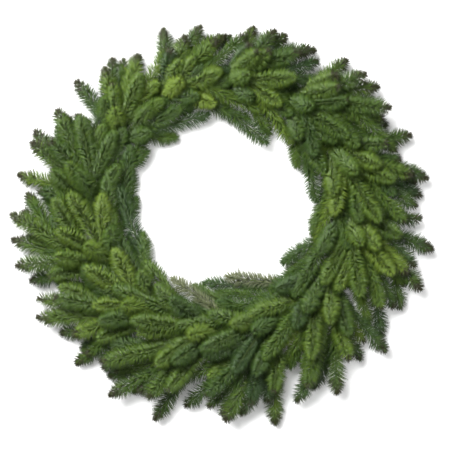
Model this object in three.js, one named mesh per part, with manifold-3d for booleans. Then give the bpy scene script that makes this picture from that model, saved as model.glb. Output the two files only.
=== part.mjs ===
// A fresh fir wreath, lying on its back with its face up.
// A ring of heavy wire carries twelve pairs of prongs. Each pair is bent shut over the cut stems of
// four sprays of fir, and every spray sweeps clockwise over the stems of the next clamp.
// Millimetres, +Z up. Seen from above, +Y is the side that hangs at the top.
import * as THREE from "three";
import { mergeVertices } from "three/addons/utils/BufferGeometryUtils.js";
import Module from "manifold-3d";

// The ring and its clamps
const RING_RADIUS = 178; // a 14 inch ring, to the middle of its wire
const RING_WIRE = 5;
const RING_STEPS = 36;
const CLAMPS = 12;
const FIRST_CLAMP_DEG = 8;
const PRONG_WIRE = 2.8;
const PRONG_SIDES = 3;

// Clearance between pieces that touch
const GAP = 0.35;

// A cut stem and a shoot of the year, with its bud
const STEM = 4.4;
const STEM_SIDES = 4;
const BUTT_LENGTH = 24; // from the middle of the clamp back to the cut end
const CLAMP_EXIT = 9; // the stem stays straight this far past the clamp
const STEM_BEND = 26; // and has turned to the spray's own direction after this much more
const TWIG_RADIUS = 2.1;
const TWIG_END_RADIUS = 1.5;
const TWIG_SIDES = 3;
const NECK = 11; // a side shoot has its own round section this far from where it forks
const NECK_CLEAR = 5.1; // and is there this far from the leader, middle to middle
const MATE_CLEAR = 4.65; // as far apart as the stems of one clamp run, middle to middle
const BUD_RADIUS = 2.1;
const BUD_LENGTH = 9;
const BUD_SHOULDER = 0.6; // share of the bud's length that tapers to its point

// Needles stand in whorls of six
const NEEDLE_LENGTH = 22;
const NEEDLE_LEAN_DEG = 46; // from the twig, at the foot of a shoot
const NEEDLE_TIP_LEAN_DEG = 28; // and round the bud
const NEEDLE_ROOT = 3.2; // length of the raised root along the twig
const LEADER_WHORLS = 3;
const FIRST_WHORL = 0.42; // share of a shoot's length
const PLAIN_AT_FORK = 2; // facets beside a side shoot that carry no needle
const NEEDLE_GAP = 0.7; // that it keeps from all others
const FLOOR_CLEARANCE = 0.8;
const NEEDLE_RADIUS = 2; // that it is given at its root when it is tested against others
const NEEDLE_SAMPLES = [0.2, 0.3, 0.4, 0.5, 0.6, 0.7, 0.8, 0.9, 1]; // where it is tested
const NEEDLE_SHARES = [1, 0.8, 0.6, 0.45, 0.3]; // of its length, tried in turn
const NEEDLE_TURNS_DEG = [0, 15, -15, 30, -30]; // round the twig
const NEEDLE_BENDS = [1, 0.8, 0.6]; // shares of its lean

// The four rows of sprays. heading turns a spray out from the clockwise tangent of its clamp, rise
// tips it up from the floor, reach is its length from the clamp, roll lowers its outward side, and
// seat is its place in the clamp, counted in stems across and up.
const ROWS = [
  { name: "outer", heading: 27, rise: 6, reach: 172, roll: 12, seat: [0.5, 0] },
  { name: "shoulder", heading: 11, rise: 16, reach: 176, roll: 10, seat: [0.5, 1] },
  { name: "crown", heading: -9, rise: 25, reach: 160, roll: 0, seat: [-0.5, 1] },
  { name: "inner", heading: -32, rise: 12, reach: 160, roll: -20, seat: [-0.5, 0] },
];

// The side shoots of a spray: which side of the leader, how far up the leader it forks, its length
// as a share of the leader's, its angle out of the leader's line and up out of the fan, and its whorls
const SIDE_SHOOTS = [
  { side: 1, fork: 0.14, length: 0.68, spread: 32, tilt: 4, whorls: 3 },
  { side: -1, fork: 0.24, length: 0.62, spread: 32, tilt: 0, whorls: 2 },
  { side: 1, fork: 0.05, length: 0.6, spread: 10, tilt: 29, whorls: 2 },
];

// The room that the foliage fills, for the middle lines of the shoots
const HOLE_RADIUS = 120;
const RIM_RADIUS = 286;
const RIM_FULLER_BELOW = 25; // the wreath reaches this much further at the bottom than at its middle
const RIM_FULLER_BESIDE = 6; // and this much further at the two sides
const LOWEST = 13;
const HIGHEST = 92;

// How far one spray or shoot may differ from the next, and how clear of others it has to lie
const SEED = 7;
const TRIES = 250;
const CLEAR_ENOUGH = 12;
const MUST_CLEAR = 7;
const HEADING_SPREAD = 9;
const RISE_SPREAD = 6;
const ROLL_SPREAD = 8;
const SPREAD_SPREAD = 7;
const TILT_SPREAD = 7;
const REACH_SPREAD = 0.1;
const REACH_TO_RIM = 1.8; // power by which a spray is longer where the rim is further out
const FORK_SPREAD = 0.02;
const LIFT_SPREAD = 0.06; // how far a shoot's end curls up, as a share of its length
const MARKS = [0, 0.25, 0.5, 0.75, 1]; // where a shoot is measured along its length

const wasm = await Module();
wasm.setup();
const rad = THREE.MathUtils.degToRad;
const UP = new THREE.Vector3(0, 0, 1);

// A small seeded generator, so that every build draws the same wreath
let state = SEED;
function draw(low, high) {
  state = (state * 48271) % 2147483647;
  return low + ((high - low) * state) / 2147483647;
}
const about = (value, spread) => value + draw(-spread, spread);

// The clockwise tangent, the outward direction and the middle of a place on the ring
function placeOnRing(degrees) {
  const angle = rad(degrees);
  const out = new THREE.Vector3(Math.cos(angle), Math.sin(angle), 0);
  const along = new THREE.Vector3(Math.sin(angle), -Math.cos(angle), 0);
  return { out, along, middle: out.clone().multiplyScalar(RING_RADIUS) };
}
const clampPlace = (clampNumber) => placeOnRing(FIRST_CLAMP_DEG - (clampNumber * 360) / CLAMPS);

// A shoot's middle line is a shallow parabola: straight at its foot, curling towards lift at its end
function pointOn(shoot, t) {
  return shoot.from
    .clone()
    .addScaledVector(shoot.direction, shoot.length * t)
    .addScaledVector(shoot.lift, shoot.curl * shoot.length * t * t);
}
function directionOn(shoot, t) {
  return shoot.direction
    .clone()
    .addScaledVector(shoot.lift, 2 * shoot.curl * t)
    .normalize();
}

// The straight stretches that a shoot is measured by, from its start on
function stretchesOf(shoot, start = 0) {
  const points = MARKS.map((mark) => pointOn(shoot, THREE.MathUtils.lerp(start, 1, mark)));
  return points.slice(1).map((end, i) => ({ a: points[i], b: end, early: i === 0 }));
}

// Shortest distance between two straight stretches
function stretchDistance(p, q) {
  const u = p.b.clone().sub(p.a);
  const v = q.b.clone().sub(q.a);
  const w = p.a.clone().sub(q.a);
  const uu = u.dot(u);
  const uv = u.dot(v);
  const vv = v.dot(v);
  const uw = u.dot(w);
  const vw = v.dot(w);
  const within = (x) => Math.min(1, Math.max(0, x));
  const cross = uu * vv - uv * uv;
  let s = cross > 1e-9 ? within((uv * vw - vv * uw) / cross) : 0;
  const t = within((uv * s + vw) / vv);
  s = within((uv * t - uw) / uu);
  return w.addScaledVector(u, s).addScaledVector(v, -t).length();
}

// The distance from a point to a stretch, or to the surface of one that has a radius at each end
function stickGap(point, { a, b, radiusA = 0, radiusB = 0 }) {
  const run = b.clone().sub(a);
  const t = Math.min(1, Math.max(0, point.clone().sub(a).dot(run) / run.lengthSq()));
  return run.multiplyScalar(t).add(a).distanceTo(point) - THREE.MathUtils.lerp(radiusA, radiusB, t);
}

// The rim of the foliage in the direction of a point
function rimTowards(point) {
  const sine = point.y / Math.hypot(point.x, point.y);
  return RIM_RADIUS - RIM_FULLER_BELOW * sine + RIM_FULLER_BESIDE * (1 - 2 * sine * sine);
}

// How far a point lies outside the room that the foliage fills
function outside(point) {
  const round = Math.hypot(point.x, point.y);
  const rim = rimTowards(point);
  return Math.max(0, HOLE_RADIUS - round, round - rim, LOWEST - point.z, point.z - HIGHEST);
}

// How clear a shoot lies of the wood already laid, less what it reaches outside its room. One that
// nearly touches other wood is never chosen while another is left. Carriers are the stems and leaders:
// those of one clamp start side by side, and each touches its own side shoots.
function roomFor(own, laid, home) {
  let least = 2 * CLEAR_ENOUGH;
  for (const other of laid) {
    const sameSpray = other.name === home.name;
    const clampMates = other.clampNumber === home.clampNumber && other.carrier && home.carrier;
    for (const q of other.stretches) {
      for (const p of own) {
        if (p.early && q.early && clampMates) {
          if (stretchDistance(p, q) < MATE_CLEAR) least = 0;
        } else if (p.early && sameSpray && other.carrier) {
          if (stickGap(p.a, q) < NECK_CLEAR) least = 0;
        } else {
          least = Math.min(least, stretchDistance(p, q));
        }
      }
    }
  }
  const stray = Math.max(...own.map((p) => outside(p.b)));
  return least - stray - (least < MUST_CLEAR ? RING_RADIUS : 0);
}

// Draws a shoot again and again until one lies clear, and keeps the clearest
function clearest(drawShoot, laid, home) {
  let best = null;
  for (let attempt = 0; attempt < TRIES; attempt++) {
    const shoot = drawShoot();
    shoot.room = roomFor([...shoot.foot, ...stretchesOf(shoot, shoot.start)], laid, home);
    if (!best || shoot.room > best.room) best = shoot;
    if (best.room > CLEAR_ENOUGH) break;
  }
  return best;
}

// The cut stem's place in its clamp, and where it comes out of it
function seatIn(place, row) {
  const pitch = STEM + GAP;
  const seat = place.middle
    .clone()
    .addScaledVector(place.out, row.seat[0] * pitch)
    .setZ(RING_WIRE + GAP + STEM / 2 + row.seat[1] * pitch);
  return {
    butt: seat.clone().addScaledVector(place.along, -BUTT_LENGTH),
    exit: seat.clone().addScaledVector(place.along, CLAMP_EXIT),
  };
}

// The spray's leader runs on from its stem, in the direction that its row gives it
function drawLeader(place, row, exit) {
  const heading = rad(about(row.heading, HEADING_SPREAD));
  const rise = rad(about(row.rise, RISE_SPREAD));
  const roll = rad(about(row.roll, ROLL_SPREAD));
  const direction = place.along
    .clone()
    .multiplyScalar(Math.cos(heading) * Math.cos(rise))
    .addScaledVector(place.out, Math.sin(heading) * Math.cos(rise))
    .addScaledVector(UP, Math.sin(rise));
  const level = new THREE.Vector3().crossVectors(UP, direction).normalize();
  const across = level
    .clone()
    .multiplyScalar(Math.cos(roll))
    .addScaledVector(new THREE.Vector3().crossVectors(direction, level), -Math.sin(roll));
  const lift = new THREE.Vector3().crossVectors(direction, across);
  const from = exit
    .clone()
    .addScaledVector(place.along, STEM_BEND / 2)
    .addScaledVector(direction, STEM_BEND / 2);
  const tip = place.middle.clone().addScaledVector(direction, row.reach);
  const reach = row.reach * about(1, REACH_SPREAD) * (rimTowards(tip) / RIM_RADIUS) ** REACH_TO_RIM;
  const length = reach - CLAMP_EXIT - STEM_BEND;
  const curl = draw(0, LIFT_SPREAD);
  const foot = [{ a: exit, b: from, early: true }];
  const grown = { start: 0, foot, whorls: LEADER_WHORLS, sides: [] };
  return { from, direction, across, lift, length, curl, ...grown };
}

// A side shoot forks from the leader, in the fan or a little above it
function drawSide(leader, kind) {
  const spread = rad(about(kind.spread, SPREAD_SPREAD));
  const tilt = rad(about(kind.tilt, TILT_SPREAD));
  const direction = leader.direction
    .clone()
    .multiplyScalar(Math.cos(spread) * Math.cos(tilt))
    .addScaledVector(leader.across, kind.side * Math.sin(spread) * Math.cos(tilt))
    .addScaledVector(leader.lift, Math.sin(tilt));
  const fork = about(kind.fork, FORK_SPREAD);
  const from = pointOn(leader, fork);
  const length = leader.length * kind.length * about(1, REACH_SPREAD);
  const { across, lift } = leader;
  const curl = draw(0, LIFT_SPREAD);
  const grown = { start: NECK / length, foot: [], whorls: kind.whorls, sides: [] };
  return { fork, from, direction, across, lift, length, curl, ...grown };
}

// One prong: its middle line leaves the ring wire, climbs beside the stems and is bent over them
function prongAt(place, side) {
  const pitch = STEM + GAP;
  const wide = side * (pitch + GAP / 2 + PRONG_WIRE / 2);
  const top = RING_WIRE + GAP + 2 * pitch + PRONG_WIRE / 2;
  const shift = (side * (PRONG_WIRE + GAP)) / 2;
  const corners = [
    [0, RING_WIRE / 2],
    [wide, 0.8 * RING_WIRE],
    [wide, top - 0.75 * pitch],
    [0.85 * wide, top - 0.15 * pitch],
    [0, top],
    [-0.5 * wide, top - 0.1 * pitch],
  ];
  const line = corners.map(([across, up]) =>
    place.middle
      .clone()
      .addScaledVector(place.out, across)
      .addScaledVector(place.along, shift)
      .setZ(up),
  );
  return { line, along: place.along };
}

// Lays the sprays clamp by clamp, each shoot turned about until it lies clear of those before it
function laySprays(prongs) {
  const sprays = [];
  const laid = prongs.map(({ line }) => {
    const stretches = line.slice(1).map((b, i) => ({ a: line[i], b, early: false }));
    return { name: "clamp_ring", clampNumber: null, carrier: false, stretches };
  });
  for (let clampNumber = 0; clampNumber < CLAMPS; clampNumber++) {
    const place = clampPlace(clampNumber);
    for (const row of ROWS) {
      const name = `spray_${row.name}_${String(clampNumber + 1).padStart(2, "0")}`;
      const stem = { name, clampNumber, carrier: true };
      const branch = { name, clampNumber, carrier: false };
      const { butt, exit } = seatIn(place, row);
      const leader = clearest(() => drawLeader(place, row, exit), laid, stem);
      laid.push({ ...stem, stretches: [{ a: butt, b: exit, early: true }] });
      laid.push({ ...stem, stretches: [...leader.foot, ...stretchesOf(leader)] });
      for (const kind of SIDE_SHOOTS) {
        const shoot = clearest(() => drawSide(leader, kind), laid, branch);
        laid.push({ ...branch, stretches: stretchesOf(shoot, shoot.start) });
        leader.sides.push(shoot);
      }
      sprays.push({ name, butt, exit, leader });
    }
  }
  return sprays;
}

// Sticks stand for all that a needle has to keep clear of: two ends, and a radius at each
const stick = (a, b, radiusA, radiusB, shoot = null) => ({ a, b, radiusA, radiusB, shoot });

function woodSticks(sprays) {
  const sticks = [];
  for (const { butt, exit, leader } of sprays) {
    sticks.push(stick(butt, exit, STEM / 2, STEM / 2));
    sticks.push(stick(exit, leader.from, STEM / 2, STEM / 2));
    for (const shoot of [leader, ...leader.sides]) {
      const stretches = stretchesOf(shoot, shoot.start);
      if (shoot.start > 0) {
        stretches.push({ a: pointOn(shoot, shoot.start / 3), b: pointOn(shoot, shoot.start) });
      }
      for (const { a, b } of stretches) sticks.push(stick(a, b, TWIG_RADIUS, TWIG_RADIUS, shoot));
      const shoulder = pointOn(shoot, 1 - (BUD_SHOULDER * BUD_LENGTH) / shoot.length);
      sticks.push(stick(shoulder, pointOn(shoot, 1), BUD_RADIUS, 0, shoot));
    }
  }
  return sticks;
}

function ringSticks(prongs) {
  const sticks = [];
  for (const { line } of prongs) {
    for (let i = 1; i < line.length; i++) {
      sticks.push(stick(line[i - 1], line[i], PRONG_WIRE / 2, PRONG_WIRE / 2));
    }
  }
  for (let i = 0; i < RING_STEPS; i++) {
    const ends = [i, i + 1].map((k) => placeOnRing((360 * k) / RING_STEPS).middle.setZ(RING_WIRE / 2));
    sticks.push(stick(ends[0], ends[1], RING_WIRE / 2, RING_WIRE / 2));
  }
  return sticks;
}

// A needle is clear when all of it past its root keeps off the floor and off the sticks near it
function isClear(needle, near) {
  return NEEDLE_SAMPLES.every((share) => {
    const point = needle.a.clone().lerp(needle.b, share);
    const radius = needle.radiusA * (1 - share);
    if (point.z - radius < FLOOR_CLEARANCE) return false;
    return near.every((other) => stickGap(point, other) > radius + NEEDLE_GAP);
  });
}

// The needle that grows from a root, turned, bent or shortened until it is clear, or null
function growNeedle(root, ahead, middle, lean, shoot, sticks) {
  const outwards = root.clone().sub(middle);
  outwards.addScaledVector(ahead, -outwards.dot(ahead)).normalize();
  const sideways = new THREE.Vector3().crossVectors(ahead, outwards);
  const near = sticks.filter((other) => {
    if (other.shoot === shoot) return false;
    const half = other.a.distanceTo(other.b) / 2;
    const reach = half + NEEDLE_LENGTH + STEM;
    return other.a.clone().lerp(other.b, 0.5).distanceTo(root) < reach;
  });
  for (const share of NEEDLE_SHARES) {
    for (const bend of NEEDLE_BENDS) {
      for (const turn of NEEDLE_TURNS_DEG.map(rad)) {
        const way = ahead
          .clone()
          .multiplyScalar(Math.cos(lean * bend))
          .addScaledVector(outwards, Math.sin(lean * bend) * Math.cos(turn))
          .addScaledVector(sideways, Math.sin(lean * bend) * Math.sin(turn));
        const end = root.clone().addScaledVector(way, NEEDLE_LENGTH * share);
        const needle = stick(root, end, NEEDLE_RADIUS, 0);
        if (isClear(needle, near)) return needle;
      }
    }
  }
  return null;
}

// A ring of corners round a middle line. up is where its first corner stands when it is not turned.
function ringOfCorners(middle, ahead, up, radius, sides, turn = 0) {
  const first = up.clone().addScaledVector(ahead, -up.dot(ahead)).normalize();
  const side = new THREE.Vector3().crossVectors(ahead, first);
  return Array.from({ length: sides }, (_, k) => {
    const angle = turn + (2 * Math.PI * k) / sides;
    return middle
      .clone()
      .addScaledVector(first, radius * Math.cos(angle))
      .addScaledVector(side, radius * Math.sin(angle));
  });
}

// The triangles between two rings, which may differ in their numbers of corners
function bandBetween(near, far) {
  const facets = [];
  let i = 0;
  let j = 0;
  while (i < near.length || j < far.length) {
    if ((i + 1) * far.length <= (j + 1) * near.length) {
      facets.push([near[i], near[(i + 1) % near.length], far[j % far.length]]);
      i += 1;
    } else {
      facets.push([far[j], near[i % near.length], far[(j + 1) % far.length]]);
      j += 1;
    }
  }
  return facets;
}

const centreOf = ([p, q, r]) => p.clone().add(q).add(r).divideScalar(3);

// A flat cap over a ring, facing back along it or ahead
function cap(ring, facesBack) {
  return ring.slice(2).map((corner, k) => {
    const facet = [ring[0], ring[k + 1], corner];
    return facesBack ? facet.reverse() : facet;
  });
}

// The solid inside a closed skin of facets, and a solid as a named mesh
function solidOf(facets) {
  const geometry = new THREE.BufferGeometry().setFromPoints(facets.flat());
  const merged = mergeVertices(geometry, 1e-4);
  const mesh = new wasm.Mesh({
    numProp: 3,
    vertProperties: new Float32Array(merged.attributes.position.array),
    triVerts: new Uint32Array(merged.index.array),
  });
  return new wasm.Manifold(mesh);
}

function meshFrom(solid, name, look) {
  const { vertProperties, triVerts } = solid.getMesh();
  const geometry = new THREE.BufferGeometry();
  geometry.setAttribute("position", new THREE.BufferAttribute(vertProperties, 3));
  geometry.setIndex(new THREE.BufferAttribute(triVerts, 1));
  const mesh = new THREE.Mesh(geometry, new THREE.MeshStandardMaterial(look));
  mesh.name = name;
  return mesh;
}

// The places along a shoot where its surface is gathered into a collar of six facets: a fork, whose
// side shoot grows from one of them, or a whorl, where each is raised into a needle
function collarsOf(shoot) {
  const forks = shoot.sides.map((side) => ({ at: side.fork * shoot.length, side }));
  const first = FIRST_WHORL * shoot.length;
  const last = shoot.length - BUD_LENGTH - NEEDLE_ROOT / 2;
  const whorls = Array.from({ length: shoot.whorls }, (_, i) => ({
    at: THREE.MathUtils.lerp(first, last, i / (shoot.whorls - 1)),
    side: null,
  }));
  return [...forks, ...whorls].sort((p, q) => p.at - q.at);
}

// A side shoot's first ring is turned so that its corners follow those of the facet it grows from
function turnToMeet(facet, middle, ahead, up) {
  const [first, side] = ringOfCorners(new THREE.Vector3(), ahead, up, 1, 4);
  const sum = new THREE.Vector2();
  facet.forEach((corner, k) => {
    const offset = corner.clone().sub(middle);
    const angle = Math.atan2(offset.dot(side), offset.dot(first)) - (2 * Math.PI * k) / facet.length;
    sum.add(new THREE.Vector2(Math.cos(angle), Math.sin(angle)));
  });
  return sum.angle();
}

// A collar's facets, each raised to a needle's point where there is room for one
function raiseNeedles(facets, shoot, t, sticks) {
  const middle = pointOn(shoot, t);
  const ahead = directionOn(shoot, t);
  const lean = rad(THREE.MathUtils.lerp(NEEDLE_LEAN_DEG, NEEDLE_TIP_LEAN_DEG, t * t));
  return facets.flatMap((facet) => {
    const needle = growNeedle(centreOf(facet), ahead, middle, lean, shoot, sticks);
    if (!needle) return [facet];
    sticks.push(needle);
    return facet.map((corner, k) => [corner, facet[(k + 1) % 3], needle.b]);
  });
}

// The skin of a shoot from the ring of corners at its foot to its bud, with all that grows from it
function shootSkin(shoot, foot, footTurn, sticks) {
  const skin = [];
  let near = foot;
  let turn = footTurn;
  const ringAt = (at, radius) => {
    const t = at / shoot.length;
    return ringOfCorners(pointOn(shoot, t), directionOn(shoot, t), shoot.lift, radius, TWIG_SIDES, turn);
  };
  for (const { at, side } of collarsOf(shoot)) {
    const t = at / shoot.length;
    const radius = THREE.MathUtils.lerp(TWIG_RADIUS, TWIG_END_RADIUS, t);
    turn += Math.PI / 6;
    const low = ringAt(at - NEEDLE_ROOT / 2, radius);
    skin.push(...bandBetween(near, low));
    turn += Math.PI / 3;
    near = ringAt(at + NEEDLE_ROOT / 2, radius);
    const facets = bandBetween(low, near);
    if (side) {
      const way = side.direction.clone().projectOnPlane(directionOn(shoot, t));
      const facing = (facet) => centreOf(facet).sub(pointOn(shoot, t)).dot(way);
      facets.sort((p, q) => facing(q) - facing(p));
      skin.push(...sideSkin(side, facets.shift(), sticks));
      skin.push(...facets.splice(0, PLAIN_AT_FORK));
    }
    skin.push(...raiseNeedles(facets, shoot, t, sticks));
  }
  const shoulder = ringAt(shoot.length - BUD_SHOULDER * BUD_LENGTH, BUD_RADIUS);
  skin.push(...bandBetween(near, shoulder));
  const point = pointOn(shoot, 1);
  shoulder.forEach((corner, k) => skin.push([corner, shoulder[(k + 1) % TWIG_SIDES], point]));
  return skin;
}

// A side shoot grows from one facet of its leader, and is round from its neck on
function sideSkin(shoot, facet, sticks) {
  const t = NECK / shoot.length;
  const middle = pointOn(shoot, t);
  const ahead = directionOn(shoot, t);
  const turn = turnToMeet(facet, middle, ahead, shoot.lift);
  const neck = ringOfCorners(middle, ahead, shoot.lift, TWIG_RADIUS, TWIG_SIDES, turn);
  return [...bandBetween(facet, neck), ...shootSkin(shoot, neck, turn, sticks)];
}

// One spray in one piece: its cut stem, its leader and the side shoots
function spraySolid({ butt, exit, leader }, sticks) {
  const along = exit.clone().sub(butt).normalize();
  const cut = ringOfCorners(butt, along, UP, STEM / 2, STEM_SIDES);
  const bend = ringOfCorners(exit, along, UP, STEM / 2, STEM_SIDES);
  const foot = ringOfCorners(leader.from, leader.direction, leader.lift, TWIG_RADIUS, TWIG_SIDES);
  const stem = [...cap(cut, true), ...bandBetween(cut, bend), ...bandBetween(bend, foot)];
  return solidOf([...stem, ...shootSkin(leader, foot, 0, sticks)]);
}

// A wire bent at each point of a line that lies in one plane. Its first corner stands out of the plane.
function bentWire(line, outOfPlane, radius, sides) {
  const rings = line.map((point, i) => {
    const before = line[Math.max(0, i - 1)];
    const after = line[Math.min(line.length - 1, i + 1)];
    const ahead = after.clone().sub(before).normalize();
    return ringOfCorners(point, ahead, outOfPlane, radius, sides, Math.PI / 2);
  });
  const skin = [...cap(rings[0], true), ...cap(rings[rings.length - 1], false)];
  for (let i = 1; i < rings.length; i++) skin.push(...bandBetween(rings[i - 1], rings[i]));
  return solidOf(skin);
}

// The ring stands on one of the six flats of its wire, and its prongs grow out of it
function clampRing(prongs) {
  const radius = RING_WIRE / 2 / Math.cos(Math.PI / 6);
  const rings = Array.from({ length: RING_STEPS }, (_, i) => {
    const { middle, along, out } = placeOnRing((-360 * i) / RING_STEPS);
    return ringOfCorners(middle.setZ(RING_WIRE / 2), along, out, radius, 6);
  });
  const skin = rings.flatMap((ring, i) => bandBetween(ring, rings[(i + 1) % RING_STEPS]));
  let solid = solidOf(skin);
  for (const { line, along } of prongs) {
    solid = solid.add(bentWire(line, along, PRONG_WIRE / 2, PRONG_SIDES));
  }
  return solid;
}

const FIR = { color: 0x3f6a2a, roughness: 0.55, metalness: 0 };
const ENAMELLED_WIRE = { color: 0x2c4a30, roughness: 0.4, metalness: 0.3 };

const places = Array.from({ length: CLAMPS }, (_, clampNumber) => clampPlace(clampNumber));
const prongs = places.flatMap((place) => [prongAt(place, 1), prongAt(place, -1)]);
const sprays = laySprays(prongs);
const sticks = [...woodSticks(sprays), ...ringSticks(prongs)];

const wreath = new THREE.Group();
wreath.add(meshFrom(clampRing(prongs), "clamp_ring", ENAMELLED_WIRE));
for (const spray of sprays) wreath.add(meshFrom(spraySolid(spray, sticks), spray.name, FIR));

// The origin is on the floor, under the middle of the wreath
const box = new THREE.Box3().setFromObject(wreath);
wreath.position.set(-(box.min.x + box.max.x) / 2, -(box.min.y + box.max.y) / 2, -box.min.z);

export default wreath;
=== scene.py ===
# %% [markdown]
# # A fresh fir wreath
#
# Forty-eight sprays of fir are clamped round a ring of heavy wire. Each sweeps clockwise over the
# stems of the next, so the whole wreath seems to turn. The frame holds the ring and the sprays as
# plain solids. This notebook dresses them: bark, buds and needles go where the frame has twigs.

# %% The tools and the frame
import math
from types import SimpleNamespace

import bmesh
import bpy
import numpy as np
from mathutils import Matrix, Vector


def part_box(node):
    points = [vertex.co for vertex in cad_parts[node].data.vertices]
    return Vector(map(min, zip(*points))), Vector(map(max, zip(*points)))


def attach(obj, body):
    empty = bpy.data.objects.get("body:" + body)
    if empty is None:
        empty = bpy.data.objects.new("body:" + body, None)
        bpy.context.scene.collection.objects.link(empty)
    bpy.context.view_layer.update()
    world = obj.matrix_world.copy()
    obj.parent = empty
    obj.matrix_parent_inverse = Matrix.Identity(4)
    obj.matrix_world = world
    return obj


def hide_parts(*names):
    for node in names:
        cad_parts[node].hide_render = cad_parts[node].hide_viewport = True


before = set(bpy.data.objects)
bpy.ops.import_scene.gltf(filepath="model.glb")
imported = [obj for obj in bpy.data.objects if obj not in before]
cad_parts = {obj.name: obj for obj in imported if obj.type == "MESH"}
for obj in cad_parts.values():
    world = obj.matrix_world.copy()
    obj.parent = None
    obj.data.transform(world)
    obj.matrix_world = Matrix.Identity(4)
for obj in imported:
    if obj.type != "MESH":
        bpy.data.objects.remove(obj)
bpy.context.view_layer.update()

# %% [markdown]
# ## The view
#
# The wreath lies face up, so the camera looks straight down on it. A long lens far away shows the
# sprays without the swelling that a short lens gives to what is near.

# %% Camera
PICTURE_WIDTH = 0.6264  # on the floor, in metres
PICTURE_MIDDLE = Vector((0.0035, -0.0016, 0.05))
LENS_MM = 120
SENSOR_MM = 36


def add_object(name, data):
    made = bpy.data.objects.new(name, data)
    bpy.context.scene.collection.objects.link(made)
    return made


lens = bpy.data.cameras.new("overhead_camera")
lens.lens = LENS_MM
lens.sensor_width = SENSOR_MM
lens.clip_end = 20
camera = add_object("overhead_camera", lens)
camera.location = PICTURE_MIDDLE + Vector((0, 0, PICTURE_WIDTH * LENS_MM / SENSOR_MM))
bpy.context.scene.camera = camera
print("camera height, in metres:", round(camera.location.z, 3))

# %% [markdown]
# ## Where the twigs run
#
# A maker pushes four cut sprays into each clamp and turns them until they lie well. The frame was
# laid out by such a rule, with seeded draws for the maker's hand, and the same rule gives the same
# twigs here. They could be measured on the solids instead, but a rule says why a twig lies where
# it does. All of it is in millimetres, with the middle of the ring as its zero.

# %% The ring and its clamps
RING_RADIUS = 178
RING_WIRE = 5
CLAMPS = 12
FIRST_CLAMP_DEG = 8
PRONG_WIRE = 2.8
GAP = 0.35  # between pieces that touch
STEM = 4.4
PITCH = STEM + GAP  # from one stem in a clamp to the next
BUTT_LENGTH = 24  # from the middle of the clamp back to the cut end
CLAMP_EXIT = 9  # the stem stays straight this far past the clamp
STEM_BEND = 26  # and has turned to the spray's own direction after this much more
UP = np.array([0.0, 0.0, 1.0])


def place_on_ring(degrees):
    angle = math.radians(degrees)
    out = np.array([math.cos(angle), math.sin(angle), 0.0])
    along = np.array([math.sin(angle), -math.cos(angle), 0.0])
    return SimpleNamespace(out=out, along=along, middle=out * RING_RADIUS)


clamp_places = [place_on_ring(FIRST_CLAMP_DEG - number * 360 / CLAMPS) for number in range(CLAMPS)]
print("clamps on the ring:", len(clamp_places))

# %% The seeded draws
DRAW_FACTOR = 48271
DRAW_LIMIT = 2147483647
draw_state = 7  # the seed


def draw(low, high):
    global draw_state
    draw_state = draw_state * DRAW_FACTOR % DRAW_LIMIT
    return low + (high - low) * draw_state / DRAW_LIMIT


def about(value, spread):
    return value + draw(-spread, spread)

# %% [markdown]
# A shoot's middle line is a shallow parabola: straight at its foot, curling a little upwards at
# its end. To compare it with its neighbours it is taken as four straight stretches.

# %% A shoot's middle line
MARKS = np.array([0, 0.25, 0.5, 0.75, 1])


def unit(ways):
    return ways / np.linalg.norm(ways, axis=-1, keepdims=True)


def point_on(shoot, t):
    t = np.asarray(t, float)[..., None]
    ahead = shoot.direction * (shoot.length * t)
    return shoot.start + ahead + shoot.lift * (shoot.curl * shoot.length * t * t)


def direction_on(shoot, t):
    t = np.asarray(t, float)[..., None]
    return unit(shoot.direction + shoot.lift * (2 * shoot.curl * t))


def stretches_between(points, early):
    return SimpleNamespace(a=points[:-1], b=points[1:], early=np.array(early))


def stretches_of(shoot, first=0.0):
    points = point_on(shoot, first + (1 - first) * MARKS)
    return stretches_between(points, [True, False, False, False])


# %% [markdown]
# The maker's test: how far is a new shoot from the wood and wire that already lie there? For two
# straight stretches that is the distance between the nearest points on them, found for all pairs
# at once.

# %% Distances between stretches
SAME_WAY = 1e-9  # under this, two stretches run in the same direction


def gaps_between(p, q):
    """The distances between all stretches of p and all of q, each from its a to its b."""
    u = p.b - p.a
    v = q.b - q.a
    w = p.a[:, None] - q.a[None]
    uu = (u * u).sum(1)[:, None]
    vv = (v * v).sum(1)[None]
    uv = u @ v.T
    uw = np.einsum("nmk,nk->nm", w, u)
    vw = np.einsum("nmk,mk->nm", w, v)
    cross = uu * vv - uv * uv
    nearest = np.clip((uv * vw - vv * uw) / np.maximum(cross, SAME_WAY), 0, 1)
    s = np.where(cross > SAME_WAY, nearest, 0)
    t = np.clip((uv * s + vw) / vv, 0, 1)
    s = np.clip((uv * t - uw) / uu, 0, 1)
    return np.linalg.norm(w + s[..., None] * u[:, None] - t[..., None] * v[None], axis=2)


def gaps_from(points, q):
    """The distances from each point to each stretch of q."""
    run = q.b - q.a
    away = points[:, None] - q.a
    t = np.clip(np.einsum("psk,sk->ps", away, run) / (run * run).sum(1), 0, 1)
    return np.linalg.norm(away - t[..., None] * run, axis=2)


# %% [markdown]
# The shoots have room between the open middle and the rim. The rim isn't a true circle: it lies
# further out at the wreath's foot, and a little further out at its two sides.

# %% The room that the foliage fills
HOLE_RADIUS = 120
RIM_RADIUS = 286
RIM_FULLER_BELOW = 25
RIM_FULLER_BESIDE = 6
LOWEST = 13  # above the table
HIGHEST = 92


def rim_towards(points):
    sine = points[..., 1] / np.hypot(points[..., 0], points[..., 1])
    return RIM_RADIUS - RIM_FULLER_BELOW * sine + RIM_FULLER_BESIDE * (1 - 2 * sine * sine)


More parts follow.
